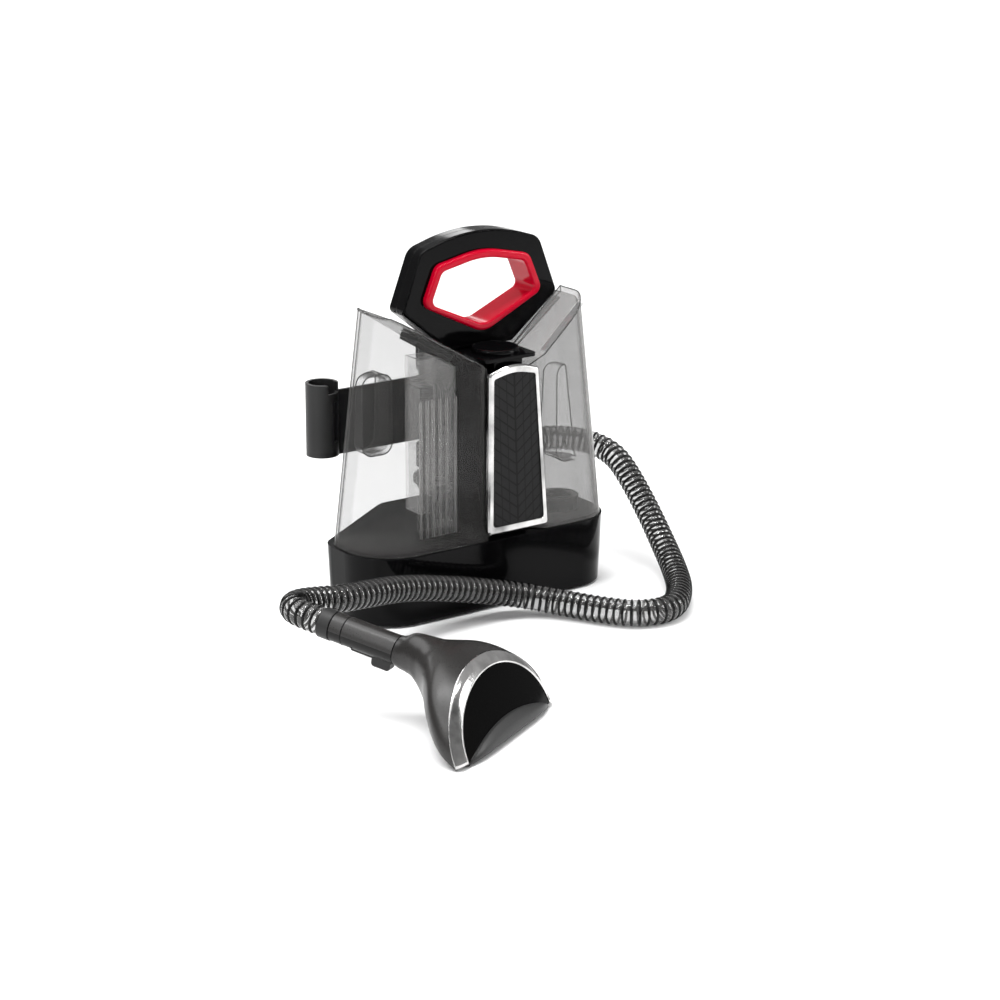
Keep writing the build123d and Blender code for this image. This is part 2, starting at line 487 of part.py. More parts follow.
lower_half = on_grip(GRIP_LEN / 2, 0, 15.05) * Box(60, 90, 30)
upper_half = on_grip(GRIP_LEN / 2, 0, -15.05) * Box(60, 90, 30)
trigger_slot = on_grip(40, 0, 12) * Box(9, 42, 10)
grip_lower = (grip & lower_half) - trigger_slot
keep("grip_upper", in_tool(grip & upper_half))
PIN_DOWN = 8.6
pin_hole = on_grip(23, 0, PIN_DOWN) * Rot(0, 90, 0) * Cylinder(1.25, 30)
lugs = on_grip(23, 5.6, 6.9) * Box(2, 6, 7) + on_grip(23, -5.6, 6.9) * Box(2, 6, 7)
lugs = lugs & grip_rod(GRIP_R - 0.5, 0, GRIP_LEN)
keep("grip_lower", in_tool(grip_lower + lugs - pin_hole))
pin = on_grip(23, 0, PIN_DOWN) * Rot(0, 90, 0) * Cylinder(1.2, 13)
keep("trigger_pin", in_tool(pin))
bar = Box(8.2, 40, 5.6)
pad = Box(8.2, 18, 9)
lever = on_grip(40, 0, 11.0) * fillet(bar.edges().filter_by(Axis.X), 1.6)
lever += on_grip(50, 0, 16.0) * fillet(pad.edges().filter_by(Axis.X), 3.0)
lever += on_grip(23, 0, PIN_DOWN) * Rot(0, 90, 0) * Cylinder(2.8, 8.2)
lever -= on_grip(23, 0, PIN_DOWN) * Rot(0, 90, 0) * Cylinder(1.26, 12)
keep("spray_trigger", in_tool(lever))
keep("spray_valve", in_tool(on_grip(46, 0, -0.5) * Box(8, 16, 7)))
keep("spray_tube", in_tool(grip_rod(2.2, -8, 36)))

# nozzle: a D-shaped face that leans back from the mouth, a hollow body behind it, and a neck
FACE_UP = 58.0


def nozzle_face(shape):
    return Rot(-NOZZLE_TILT, 0, 0) * shape


def d_outline(half, up, low):
    """Half-oval standing on its chord."""
    upper = Pos(0, up) * Rectangle(4 * half, 2 * up)
    return Pos(0, low) * (Ellipse(half, up) & upper)


def d_slab(half, up, low, front, back):
    return extrude(Plane.XZ.offset(-front) * d_outline(half, up, low), amount=-(back - front))


body_front = Plane.XZ.offset(-4) * d_outline(NOZZLE_HALF + 10, FACE_UP + 12, 4)
body_back = Plane.XZ.offset(-34) * Pos(0, 10) * d_outline(NOZZLE_HALF - 22, FACE_UP + 6, 0)
nozzle_out = nozzle_face(loft([body_front, body_back], ruled=True))
cave_front = Plane.XZ.offset(-4) * d_outline(NOZZLE_HALF + 7, FACE_UP + 9, 4)
cave_back = Plane.XZ.offset(-30) * Pos(0, 12) * d_outline(NOZZLE_HALF - 26, FACE_UP, 0)
nozzle_in = nozzle_face(loft([cave_front, cave_back], ruled=True))
neck_end = Vector(0, *CUFF_LINE[1]) + cuff_step * 0.3
neck_plane = Plane(origin=neck_end, z_dir=cuff_step)
throat = Plane(origin=Vector(0, 42, 50), z_dir=Vector(0, -1, -0.12))
neck_out = loft([neck_plane * Circle(GRIP_R), throat * Ellipse(34, 25)])
neck_in = loft([neck_plane * Circle(GRIP_R - WALL), throat * Ellipse(31, 22)])
nozzle = (nozzle_out + neck_out) - nozzle_in - neck_in
nozzle -= block((-200, 200), (-200, 200), (-60, 13))
nozzle += block((-80, 80), (14, 40), (13, 15.5)) & nozzle_out
keep("nozzle_body", in_tool(nozzle))
band = d_slab(NOZZLE_HALF + 9, FACE_UP + 11, 4, -1, 3.8) - d_slab(NOZZLE_HALF - 1, FACE_UP, 4, -2, 5)
band -= block((-200, 200), (-20, 20), (-60, 6))
keep("nozzle_band", in_tool(nozzle_face(band)))
window = d_slab(NOZZLE_HALF - 1.3, FACE_UP - 0.3, 4, -4, -1.2)
window += d_slab(NOZZLE_HALF - 1.3, FACE_UP - 0.3, 4, -1.2, 3) - d_slab(NOZZLE_HALF - 4, FACE_UP - 3, 4, -1.3, 4)
window -= block((-200, 200), (-20, 20), (-60, 8))
keep("nozzle_window", in_tool(nozzle_face(window)))
BRUSH_Z = (7.5, 13.0)
brush_block = block((-66, 66), (12, 26), BRUSH_Z)
keep("brush_block", in_tool(brush_block))
tufts = []
for row in range(2):
    for index in range(16):
        x, y = -60 + index * 8, 16 + row * 6
        tufts.append(rod(1.9, (x, y, 0.4), (x, y, BRUSH_Z[0])))
keep("brush_bristles", in_tool(Compound(tufts)))
keep("spray_tip", in_tool(rod(3.2, (0, 22, 31), (0, 13, 25))))

# ---- write -----------------------------------------------------------------------------------
os.makedirs("parts", exist_ok=True)
for name, shape in NODES.items():
    export_step(Pos(-MOTOR[0], -MOTOR[1], 0) * shape, f"parts/{name}.step")
print(len(NODES), "nodes")
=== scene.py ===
import json
import math
import random

import bmesh
import bpy
from mathutils import Matrix, Vector


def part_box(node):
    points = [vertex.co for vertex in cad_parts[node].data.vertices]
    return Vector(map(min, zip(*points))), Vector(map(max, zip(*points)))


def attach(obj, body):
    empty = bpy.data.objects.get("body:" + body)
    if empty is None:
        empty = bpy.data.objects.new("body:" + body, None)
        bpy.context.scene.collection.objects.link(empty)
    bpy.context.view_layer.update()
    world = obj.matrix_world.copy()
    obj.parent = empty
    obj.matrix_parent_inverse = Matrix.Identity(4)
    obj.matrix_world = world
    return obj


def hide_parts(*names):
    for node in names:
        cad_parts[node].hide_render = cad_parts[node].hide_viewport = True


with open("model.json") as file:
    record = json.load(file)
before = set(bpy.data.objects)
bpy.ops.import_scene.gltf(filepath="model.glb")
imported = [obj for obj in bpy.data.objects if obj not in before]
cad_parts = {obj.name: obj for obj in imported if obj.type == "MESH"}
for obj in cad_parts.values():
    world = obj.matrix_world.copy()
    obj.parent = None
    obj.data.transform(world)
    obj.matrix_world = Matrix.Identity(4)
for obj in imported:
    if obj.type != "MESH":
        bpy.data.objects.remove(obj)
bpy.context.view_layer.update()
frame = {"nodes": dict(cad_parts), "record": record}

# Looks of the spot extractor, in the CAD frame: +Z up, +Y to the back, floor at Z = 0.
# Lengths are metres, or millimetres where they are multiplied by MM or placed by TOOL.

scene = bpy.context.scene
NODES = frame["nodes"]
MM = 0.001
X_AXIS, Y_AXIS, Z_AXIS = Vector((1, 0, 0)), Vector((0, 1, 0)), Vector((0, 0, 1))


# ---- camera --------------------------------------------------------------------------------
CAMERA_AT = (-1.3769, -1.9991, 0.8335)
CAMERA_AZIMUTH = 34.8      # degrees from +Y towards +X
CAMERA_DOWN = 15.2         # degrees below level
LENS = 95.4                # millimetres on a 36 mm sensor
SHIFT = (0.019, -0.0916)

camera_data = bpy.data.cameras.new("camera")
camera_data.sensor_width = 36
camera_data.lens = LENS
camera_data.shift_x, camera_data.shift_y = SHIFT
camera_data.clip_end = 50
camera = bpy.data.objects.new("camera", camera_data)
camera.location = CAMERA_AT
camera.rotation_euler = (math.radians(90 - CAMERA_DOWN), 0, math.radians(-CAMERA_AZIMUTH))
scene.collection.objects.link(camera)
scene.camera = camera


# ---- small builders ------------------------------------------------------------------------
def add_mesh(name, points, faces, smooth=True):
    mesh = bpy.data.meshes.new(name)
    mesh.from_pydata([tuple(p) for p in points], [], faces)
    mesh.polygons.foreach_set("use_smooth", [smooth] * len(mesh.polygons))
    mesh.validate()
    obj = bpy.data.objects.new(name, mesh)
    scene.collection.objects.link(obj)
    return obj


def skin(rings, closed=True, caps=False, first=0):
    """Quads between equal rings of points, numbered from first. Returns (points, faces)."""
    size = len(rings[0])
    points = [p for ring in rings for p in ring]
    faces = []
    for row in range(len(rings) - 1):
        for k in range(size if closed else size - 1):
            a, b = row * size + k, row * size + (k + 1) % size
            faces.append((first + a, first + b, first + b + size, first + a + size))
    if caps:
        faces.append(tuple(first + k for k in reversed(range(size))))
        last = first + (len(rings) - 1) * size
        faces.append(tuple(last + k for k in range(size)))
    return points, faces


def circle(place, radius, count):
    """Ring of points round a place, given as (centre, side, up)."""
    centre, side, up = place
    turn = 2 * math.pi / count
    return [centre + (side * math.cos(turn * k) + up * math.sin(turn * k)) * radius
            for k in range(count)]


def hoop_rings(place, ahead, radius, thick, count):
    """Rings of a closed round hoop about a place; ahead is the hoop's axis."""
    centre, side, up = place
    rings = []
    for k in range(count):
        out = side * math.cos(math.tau * k / count) + up * math.sin(math.tau * k / count)
        rings.append(circle((centre + out * radius, out, ahead), thick, 8))
    return rings + rings[:1]


def round_pairs(points):
    """Pairs of neighbours along a closed line of points."""
    return list(zip(points, points[1:] + points[:1]))


def edge_bars(name, pairs, radius):
    """A thin six-sided bar along each pair of points."""
    points, faces = [], []
    for a, b in pairs:
        ahead = (b - a).normalized()
        side = ahead.orthogonal().normalized()
        up = ahead.cross(side)
        ends = [circle((end, side, up), radius, 6) for end in (a, b)]
        more, quads = skin(ends, caps=True, first=len(points))
        points += more
        faces += quads
    return add_mesh(name, points, faces)


def finish_piece(obj, body, material):
    obj.data.materials.clear()
    obj.data.materials.append(material)
    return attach(obj, body)


# ---- materials -----------------------------------------------------------------------------
def shader_tree(name):
    material = bpy.data.materials.new(name)
    material.use_nodes = True
    return material, material.node_tree, material.node_tree.nodes["Principled BSDF"]


def add_node(tree, kind, inputs=(), **settings):
    node = tree.nodes.new(kind)
    for key, value in settings.items():
        setattr(node, key, value)
    for key, value in dict(inputs).items():
        if isinstance(value, bpy.types.NodeSocket):
            tree.links.new(value, node.inputs[key])
        else:
            node.inputs[key].default_value = value
    return node


def noise(tree, scale, detail=3.0):
    coords = add_node(tree, "ShaderNodeTexCoord")
    inputs = {"Vector": coords.outputs["Object"], "Scale": scale, "Detail": detail}
    return add_node(tree, "ShaderNodeTexNoise", inputs).outputs["Fac"]


def spread(tree, value, low, high, start=0.3, end=0.7):
    """Maps a noise value onto low..high."""
    inputs = {"Value": value, "From Min": start, "From Max": end, "To Min": low, "To Max": high}
    return add_node(tree, "ShaderNodeMapRange", inputs).outputs["Result"]


def tint(tree, value, dark, light):
    """Colour that runs from dark to light over the middle of a noise value."""
    ramp = add_node(tree, "ShaderNodeValToRGB", {"Fac": value})
    for stop, position, colour in zip(ramp.color_ramp.elements, (0.3, 0.7), (dark, light)):
        stop.position = position
        stop.color = (*colour, 1)
    return ramp.outputs["Color"]


def moulded(name, dark, light, rough, grain, bump, metallic=0.0, coat=0.0, edge=0.0006,
            cloud=9.0, specular=0.5):
    """Moulded or plated surface: clouded colour, fine grain, softly rounded edges."""
    material, tree, shader = shader_tree(name)
    clouds = noise(tree, cloud, 4.0)
    fine = noise(tree, grain, 5.0)
    tree.links.new(tint(tree, clouds, dark, light), shader.inputs["Base Color"])
    tree.links.new(spread(tree, fine, rough[0], rough[1]), shader.inputs["Roughness"])
    shader.inputs["Metallic"].default_value = metallic
    shader.inputs["Coat Weight"].default_value = coat
    shader.inputs["Coat Roughness"].default_value = 0.04
    shader.inputs["Specular IOR Level"].default_value = specular
    rounded_edge = add_node(tree, "ShaderNodeBevel", {"Radius": edge}, samples=4)
    grained = add_node(tree, "ShaderNodeBump", {"Height": fine, "Strength": bump,
                                                "Distance": 0.0004,
                                                "Normal": rounded_edge.outputs["Normal"]})
    tree.links.new(grained.outputs["Normal"], shader.inputs["Normal"])
    return material


def clear(name, colour, facing, grazing, rough, coat=1.0, specular=0.9):
    """Thin clear plastic: see-through face on, denser at a glance. No refraction."""
    material, tree, shader = shader_tree(name)
    clouds = noise(tree, 14.0, 3.0)
    fine = noise(tree, 320.0, 3.0)
    weight = add_node(tree, "ShaderNodeLayerWeight", {"Blend": 0.5})
    alpha = add_node(tree, "ShaderNodeMapRange",
                     {"Value": weight.outputs["Facing"], "From Min": 0.4, "From Max": 0.88,
                      "To Min": facing, "To Max": grazing}, interpolation_type="SMOOTHSTEP")
    shade = tint(tree, clouds, tuple(c * 0.9 for c in colour), colour)
    tree.links.new(shade, shader.inputs["Base Color"])
    tree.links.new(spread(tree, fine, rough * 0.7, rough * 1.5), shader.inputs["Roughness"])
    tree.links.new(alpha.outputs["Result"], shader.inputs["Alpha"])
    shader.inputs["Specular IOR Level"].default_value = specular
    shader.inputs["Coat Weight"].default_value = coat
    shader.inputs["Coat Roughness"].default_value = 0.02
    bump = add_node(tree, "ShaderNodeBump",
                    {"Height": clouds, "Strength": 0.08, "Distance": 0.002})
    tree.links.new(bump.outputs["Normal"], shader.inputs["Normal"])
    return material


CHEVRON_PITCH = 0.0105     # metres between rows, up the panel
CHEVRON_SLOPE = 0.75       # rise of a row for each unit away from the middle
CHEVRON_GROOVE = 0.2       # part of the pitch that is groove
COLUMN_PITCH = 0.0085
COLUMN_CUT = 0.13


def chevron_badge():
    """Black panel with rows of embossed chevrons, like a tread; its grooves are painted darker
    as shade.
    """
    material, tree, shader = shader_tree("badge_chevrons")
    coords = add_node(tree, "ShaderNodeTexCoord")
    split = add_node(tree, "ShaderNodeSeparateXYZ", {"Vector": coords.outputs["Object"]})

    def calc(operation, a, b=0.0):
        node = add_node(tree, "ShaderNodeMath", operation=operation)
        for socket, value in zip(node.inputs, (a, b)):
            if isinstance(value, bpy.types.NodeSocket):
                tree.links.new(value, socket)
            else:
                socket.default_value = value
        return node.outputs["Value"]

    away = calc("ABSOLUTE", split.outputs["X"])
    slanted = calc("SUBTRACT", split.outputs["Z"], calc("MULTIPLY", away, CHEVRON_SLOPE))
    row = calc("FRACT", calc("DIVIDE", slanted, CHEVRON_PITCH))
    groove = calc("LESS_THAN", row, CHEVRON_GROOVE)
    column = calc("FRACT", calc("DIVIDE", away, COLUMN_PITCH))
    cut = calc("LESS_THAN", column, COLUMN_CUT)
    either = calc("MAXIMUM", groove, cut)
    fine = noise(tree, 900.0, 2.0)
    height = calc("SUBTRACT", calc("MULTIPLY", fine, 0.12), either)
    # Grooves and cuts are coloured darker than the chevrons: painted shade in the recesses.
    shade = tint(tree, calc("ADD", calc("MULTIPLY", either, 0.8), 0.1),
                 (0.010, 0.010, 0.0105), (0.003, 0.003, 0.003))
    tree.links.new(shade, shader.inputs["Base Color"])
    tree.links.new(spread(tree, fine, 0.3, 0.45), shader.inputs["Roughness"])
    shader.inputs["Specular IOR Level"].default_value = 0.14
    bump = add_node(tree, "ShaderNodeBump",
                    {"Height": height, "Strength": 0.6, "Distance": 0.0005})
    tree.links.new(bump.outputs["Normal"], shader.inputs["Normal"])
    return material


def grey(value):
    return (value, value, value)


MOULDED = {
    "black_gloss": dict(dark=(0.0012, 0.0012, 0.0014), light=(0.0025, 0.0025, 0.0028),
                        rough=(0.07, 0.12), grain=260.0, bump=0.015, edge=0.0012,
                        specular=0.09),
    "black_satin": dict(dark=grey(0.010), light=grey(0.018), rough=(0.34, 0.5), grain=900.0,
                        bump=0.12, specular=0.3),
    "grip_satin": dict(dark=(0.013, 0.012, 0.0115), light=(0.018, 0.0168, 0.016),
                       rough=(0.26, 0.34), grain=1100.0, bump=0.06, specular=0.35),
    # the grip's lower half: a darker copy of grip_satin, painted shade on its underside
    "grip_painted_shade": dict(dark=(0.004, 0.0038, 0.0036), light=(0.006, 0.0056, 0.0054),
                      rough=(0.28, 0.36), grain=1100.0, bump=0.06, specular=0.2),
    "rubber_black": dict(dark=grey(0.010), light=grey(0.02), rough=(0.6, 0.8), grain=700.0,
                         bump=0.3),
    "steel": dict(dark=(0.45, 0.45, 0.46), light=grey(0.6), rough=(0.22, 0.4), grain=1400.0,
                  bump=0.1, metallic=1.0),
    "motor_steel": dict(dark=grey(0.4), light=grey(0.55), rough=(0.3, 0.5), grain=600.0,
                        bump=0.15, metallic=1.0),
    "inner_plastic": dict(dark=(0.55, 0.54, 0.5), light=(0.7, 0.69, 0.65), rough=(0.4, 0.55),
                          grain=500.0, bump=0.1),
    # chrome_trim: its colour is clouded from dark grey to bright, painted reflections in the
    # chrome
    "chrome_trim": dict(dark=grey(0.16), light=(0.85, 0.84, 0.83), rough=(0.10, 0.18),
                        grain=700.0, bump=0.03, metallic=1.0, edge=0.0008, cloud=26.0),
    "red_gloss": dict(dark=(0.44, 0.0, 0.014), light=(0.50, 0.0, 0.019), rough=(0.16, 0.2),
                      grain=400.0, bump=0.0, coat=0.05, edge=0.0012, specular=0.14),
    "window_smoke": dict(dark=grey(0.001), light=grey(0.002), rough=(0.05, 0.09), grain=200.0,
                         bump=0.02, specular=0.05),
    "red_bristle": dict(dark=(0.45, 0.004, 0.03), light=(0.62, 0.01, 0.05), rough=(0.35, 0.5),
                        grain=900.0, bump=0.05),
    "hose_ribs": dict(dark=grey(0.001), light=grey(0.003), rough=(0.12, 0.2), grain=700.0,
                      bump=0.04, specular=0.22),
    "solution_tube": dict(dark=grey(0.003), light=grey(0.005), rough=(0.2, 0.3), grain=700.0,
                          bump=0.05),
    "lip_satin": dict(dark=grey(0.012), light=grey(0.017), rough=(0.32, 0.42), grain=900.0,
                      bump=0.08, specular=0.3),
}
CLEAR = {
    "clear_smoke": dict(colour=(0.085, 0.084, 0.082), facing=0.15, grazing=0.9, rough=0.08,
                        coat=0.0, specular=0.03),
    "clear_grey": dict(colour=(0.20, 0.197, 0.193), facing=0.34, grazing=0.9, rough=0.08,
                       coat=0.0, specular=0.06),
    "clear_insert": dict(colour=(0.62, 0.61, 0.60), facing=0.15, grazing=0.85, rough=0.06),
    "clear_rib": dict(colour=(0.62, 0.61, 0.60), facing=0.38, grazing=0.9, rough=0.06),
    # tank edge bars: their dark colour is painted shade for the dark lines that clear edges
    # show
    "clear_edge_painted_dark": dict(colour=(0.035, 0.035, 0.034), facing=0.7, grazing=0.95, rough=0.08,
                       coat=0.3, specular=0.3),
    # shoulder strip: stands for the real bevel face, and its denser grey is painted shade
    "clear_bevel_painted_shade": dict(colour=grey(0.12), facing=0.5, grazing=0.8, rough=0.06, coat=0.3,
                        specular=0.2),
    "hose_film": dict(colour=(0.13, 0.128, 0.125), facing=0.36, grazing=0.8, rough=0.07),
}
LOOKS = {name: moulded(name, **settings) for name, settings in MOULDED.items()}
LOOKS.update({name: clear(name, **settings) for name, settings in CLEAR.items()})
LOOKS["badge_black"] = chevron_badge()

# grip_lower takes the darker copy of the grip's look: painted shade on the grip's underside.
SPECIAL = {"clean_tank_shell": "clear_grey", "grip_lower": "grip_painted_shade"}
SLOT_OF = {part["node"]: part["material_slot"] for part in frame["record"]["subparts"]}
CREASE = math.radians(32)
for name, obj in NODES.items():
    obj.data.materials.clear()
    obj.data.materials.append(LOOKS[SPECIAL.get(name, SLOT_OF[name])])
    obj.data.polygons.foreach_set("use_smooth", [True] * len(obj.data.polygons))
    obj.data.set_sharp_from_angle(angle=CREASE)


# ---- tank edges and shoulders --------------------------------------------------------------
def sharp_pairs(obj, angle):
    """End points of a mesh's edges that turn outwards by more than an angle."""
    body = bmesh.new()
    body.from_mesh(obj.data)
    bmesh.ops.remove_doubles(body, verts=body.verts, dist=1e-6)
    pairs = []
    for edge in body.edges:
        if len(edge.link_faces) == 2 and edge.calc_face_angle_signed(0) > angle:
            pairs.append(tuple(obj.matrix_world @ vertex.co for vertex in edge.verts))
    body.free()
    return pairs


TANK_LOW, TANK_RISE = 68.4, 219.6       # the bottom of the tanks and their full height
FRONT_Y, FRONT_LEAN = -76.0, 7.0        # their fronts at the bottom, and how far they lean back
SHOULDER_X, SHOULDER_Z = 34, 235        # where both shoulders start beside the column
STRIP_INNER, STRIP_DEPTH = 38, 10.0
STRIP_INSET, STRIP_LIFT = 0.6, 0.25     # clear of the tank's front and of its top


def shoulder_rings(side, outer, slope):
    """(front, rear) points across the strip along the front of a tank's shoulder."""
    rings = []
    for x in (STRIP_INNER, (STRIP_INNER + outer) / 2, outer):
        z = SHOULDER_Z + slope * (x - SHOULDER_X)
        front = FRONT_Y + FRONT_LEAN * (z - TANK_LOW) / TANK_RISE
        rings.append([Vector((side * x, front + depth, z + STRIP_LIFT)) * MM
                      for depth in (STRIP_INSET, STRIP_DEPTH)])
    return rings


TANKS = (   # node, body, side of the column, outer end of the shoulder and its slope
    ("dirty_tank_shell", "dirty_tank", -1, 121, 0.59),
    ("clean_tank_shell", "clean_tank", 1, 82, 0.90),
)
for node, body, side, outer, slope in TANKS:
    # Bars on the tanks' sharp edges stand for the moulded rims; their dark colour is painted
    # shade for the dark lines that clear edges show.
    bars = edge_bars(node + "_painted_dark_edges", sharp_pairs(NODES[node], math.radians(38)), 0.6 * MM)
    finish_piece(bars, body, LOOKS["clear_edge_painted_dark"])
    # The strip stands for the bevel along the shoulder's front; its denser grey is painted
    # shade.
    rings = shoulder_rings(side, outer, slope)
    strip = add_mesh(node + "_bevel", *skin(rings, closed=False), smooth=False)
    finish_piece(strip, body, LOOKS["clear_bevel_painted_shade"])
    # A pale bar along the strip's rear edge: a painted highlight line on the bevel.
    rear = [ring[1] for ring in rings]
    rear_highlight_bar = edge_bars(node + "_bevel_painted_highlight", list(zip(rear, rear[1:])), 0.5 * MM)
    finish_piece(rear_highlight_bar, body, LOOKS["clear_insert"])


# ---- separator: clear ribs, and the ring round its float ---------------------------------
SEPARATOR_XS = (-91, -84, -77.5, -70, -62.5, -52.5)
SEPARATOR_Y, SEPARATOR_LOW, SEPARATOR_HIGH = -52.4, 74.5, 205
FLOAT_RING_AT = Vector((-0.0625, -0.041, 0.116))
FLOAT_RING_R = 11 * MM

ribs = [tuple(Vector((x, SEPARATOR_Y, z)) * MM for z in (SEPARATOR_LOW, SEPARATOR_HIGH))
        for x in SEPARATOR_XS]
finish_piece(edge_bars("separator_ribs", ribs, 1.5 * MM), "dirty_tank",
             LOOKS["clear_rib"])
float_hoop = circle((FLOAT_RING_AT, X_AXIS, Y_AXIS), FLOAT_RING_R, 40)
finish_piece(edge_bars("separator_ring", round_pairs(float_hoop), 1.2 * MM), "dirty_tank",
             LOOKS["clear_rib"])


# ---- fine beads round the power button and the handle's front ------------------------------
BUTTON_BEAD_INSET, BUTTON_BEAD_SINK = 0.9 * MM, 0.3 * MM
BUTTON_BEAD_R, HANDLE_BEAD_R = 0.45 * MM, 0.42 * MM
HANDLE_FRONT_Y, HANDLE_BEAD_LIFT = -17.95, 0.7
HANDLE_EDGE = [(-36, 241, 2), (36, 241, 2), (85.6, 281.8, 6), (65.4, 334.4, 14), (0, 355, 150),
               (-65.4, 334.4, 14), (-85.6, 281.8, 6)]      # corners: x, z and radius


def rounded(corners, steps=10):
    """Closed line of points (x, z) through corners (x, z, radius)."""
    out = []
    for k, (x, z, radius) in enumerate(corners):
        here = Vector((x, z))
        back = (Vector(corners[k - 1][:2]) - here).normalized()
        on = (Vector(corners[(k + 1) % len(corners)][:2]) - here).normalized()
        reach = radius / math.tan(back.angle(on) / 2)
        start, end = here + back * reach, here + on * reach
        for n in range(steps + 1):
            t = n / steps
            out.append(start * (1 - t) ** 2 + here * 2 * t * (1 - t) + end * t * t)
    return out


button_low, button_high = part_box("power_button")
button_top = (Vector(button_low) + Vector(button_high)) / 2
button_top.z = button_high[2] - BUTTON_BEAD_SINK
button_radius = (button_high[0] - button_low[0]) / 2 - BUTTON_BEAD_INSET
button_hoop = circle((button_top, X_AXIS, Y_AXIS), button_radius, 48)
button_rim = edge_bars("button_rim_line", round_pairs(button_hoop), BUTTON_BEAD_R)
finish_piece(button_rim, "button", LOOKS["black_gloss"])

rim = [Vector((p.x, HANDLE_FRONT_Y, p.y + HANDLE_BEAD_LIFT)) * MM for p in rounded(HANDLE_EDGE)]
handle_rim = edge_bars("handle_rim_line", round_pairs(rim), HANDLE_BEAD_R)
finish_piece(handle_rim, "chassis", LOOKS["black_gloss"])


# ---- hose ----------------------------------------------------------------------------------
HOSE_ROUTE = [
    (0.092, 0.068, 0.108), (0.120, 0.068, 0.108), (0.150, 0.064, 0.107),
    (0.176, 0.047, 0.103), (0.188, 0.018, 0.094), (0.184, -0.014, 0.077),
    (0.177, -0.050, 0.055), (0.166, -0.088, 0.034), (0.151, -0.126, 0.019),
    (0.128, -0.164, 0.0132), (0.090, -0.200, 0.0126), (0.054, -0.192, 0.0128),
    (0.032, -0.160, 0.0126), (0.012, -0.124, 0.0135), (-0.018, -0.100, 0.020),
    (-0.058, -0.097, 0.031), (-0.104, -0.099, 0.043), (-0.148, -0.105, 0.053),
    (-0.190, -0.118, 0.060), (-0.224, -0.126, 0.064), (-0.250, -0.127, 0.068),
    (-0.273, -0.133, 0.072), (-0.287, -0.148, 0.075), (-0.2889, -0.1666, 0.0753),
    (-0.2788, -0.1857, 0.0714),
]
HOSE_R = 12.5 * MM
RIB_PITCH = 6.8 * MM
RIB_R = 1.25 * MM
STATIONS_PER_RIB = 6
FILM_SINK, FILM_SWELL = 1.5 * MM, 0.8 * MM      # below the ribs' crests, and up between them
TUBE_R, TUBE_OFF = 3.0 * MM, 5.4 * MM           # inner tube, and how low it hangs in the hose
TUBE_SWING, TUBE_SWING_STEP = 0.22, 0.11        # radians


def nurbs_points(route):
    """Points read off the smooth line through a route's control points."""
    curve = bpy.data.curves.new("line", "CURVE")
    curve.dimensions = "3D"
    spline = curve.splines.new("NURBS")
    spline.points.add(len(route) - 1)
    for point, place in zip(spline.points, route):
        point.co = (*place, 1)
    spline.order_u = 3
    spline.use_endpoint_u = True
    spline.resolution_u = 24
    obj = bpy.data.objects.new("line", curve)
    mesh = bpy.data.meshes.new_from_object(obj)
    points = [v.co.copy() for v in mesh.vertices]
    bpy.data.objects.remove(obj)
    bpy.data.meshes.remove(mesh)
    return points


def evenly(points, step):
    """The same line as points a fixed distance apart, and its length."""
    lengths = [0.0]
    for a, b in zip(points, points[1:]):
        lengths.append(lengths[-1] + (b - a).length)
    count = max(2, round(lengths[-1] / step))
    out, index = [], 0
    for k in range(count + 1):
        at = lengths[-1] * k / count
        while index < len(points) - 2 and lengths[index + 1] < at:
            index += 1
        part = (at - lengths[index]) / max(1e-9, lengths[index + 1] - lengths[index])
        out.append(points[index].lerp(points[index + 1], min(1.0, part)))
    return out, lengths[-1]


def carried_frames(points):
    """(centre, side, up) at each point, turned along the line without twist."""
    frames = []
    ahead = (points[1] - points[0]).normalized()
    side = ahead.cross(Z_AXIS).normalized()
    for k, p in enumerate(points):
        now = (points[min(k + 1, len(points) - 1)] - points[max(k - 1, 0)]).normalized()
        side = (ahead.rotation_difference(now) @ side).normalized()
        ahead = now
        frames.append((p, side, side.cross(now).normalized() * -1))
    return frames


stations, hose_length = evenly(nurbs_points(HOSE_ROUTE), RIB_PITCH / STATIONS_PER_RIB)
places = carried_frames(stations)
film_rings = []
for k, place in enumerate(places):
    wave = 0.5 - 0.5 * math.cos(2 * math.pi * k / STATIONS_PER_RIB)
    film_rings.append(circle(place, HOSE_R - FILM_SINK + FILM_SWELL * wave, 28))
hose_film = add_mesh("hose_film", *skin(film_rings))
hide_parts("hose")

rib_points, rib_faces = [], []
for place in places[::STATIONS_PER_RIB]:
    ahead = place[1].cross(place[2]).normalized()
    rings = hoop_rings(place, ahead, HOSE_R - RIB_R, RIB_R, 36)
    more, quads = skin(rings, first=len(rib_points))
    rib_points += more
    rib_faces += quads
hose_ribs = add_mesh("hose_rib_rings", rib_points, rib_faces)

inner_rings = []
for k, (centre, side, up) in enumerate(places[::3]):
    swing = TUBE_SWING * math.sin(k * TUBE_SWING_STEP)
    low = -up * math.cos(swing) + side * math.sin(swing)
    inner_rings.append(circle((centre + low * TUBE_OFF, side, up), TUBE_R, 12))
inner_tube = add_mesh("hose_inner_tube", *skin(inner_rings, caps=True))

finish_piece(hose_film, "chassis", LOOKS["hose_film"])
finish_piece(hose_ribs, "chassis", LOOKS["hose_ribs"])
finish_piece(inner_tube, "chassis", LOOKS["solution_tube"])


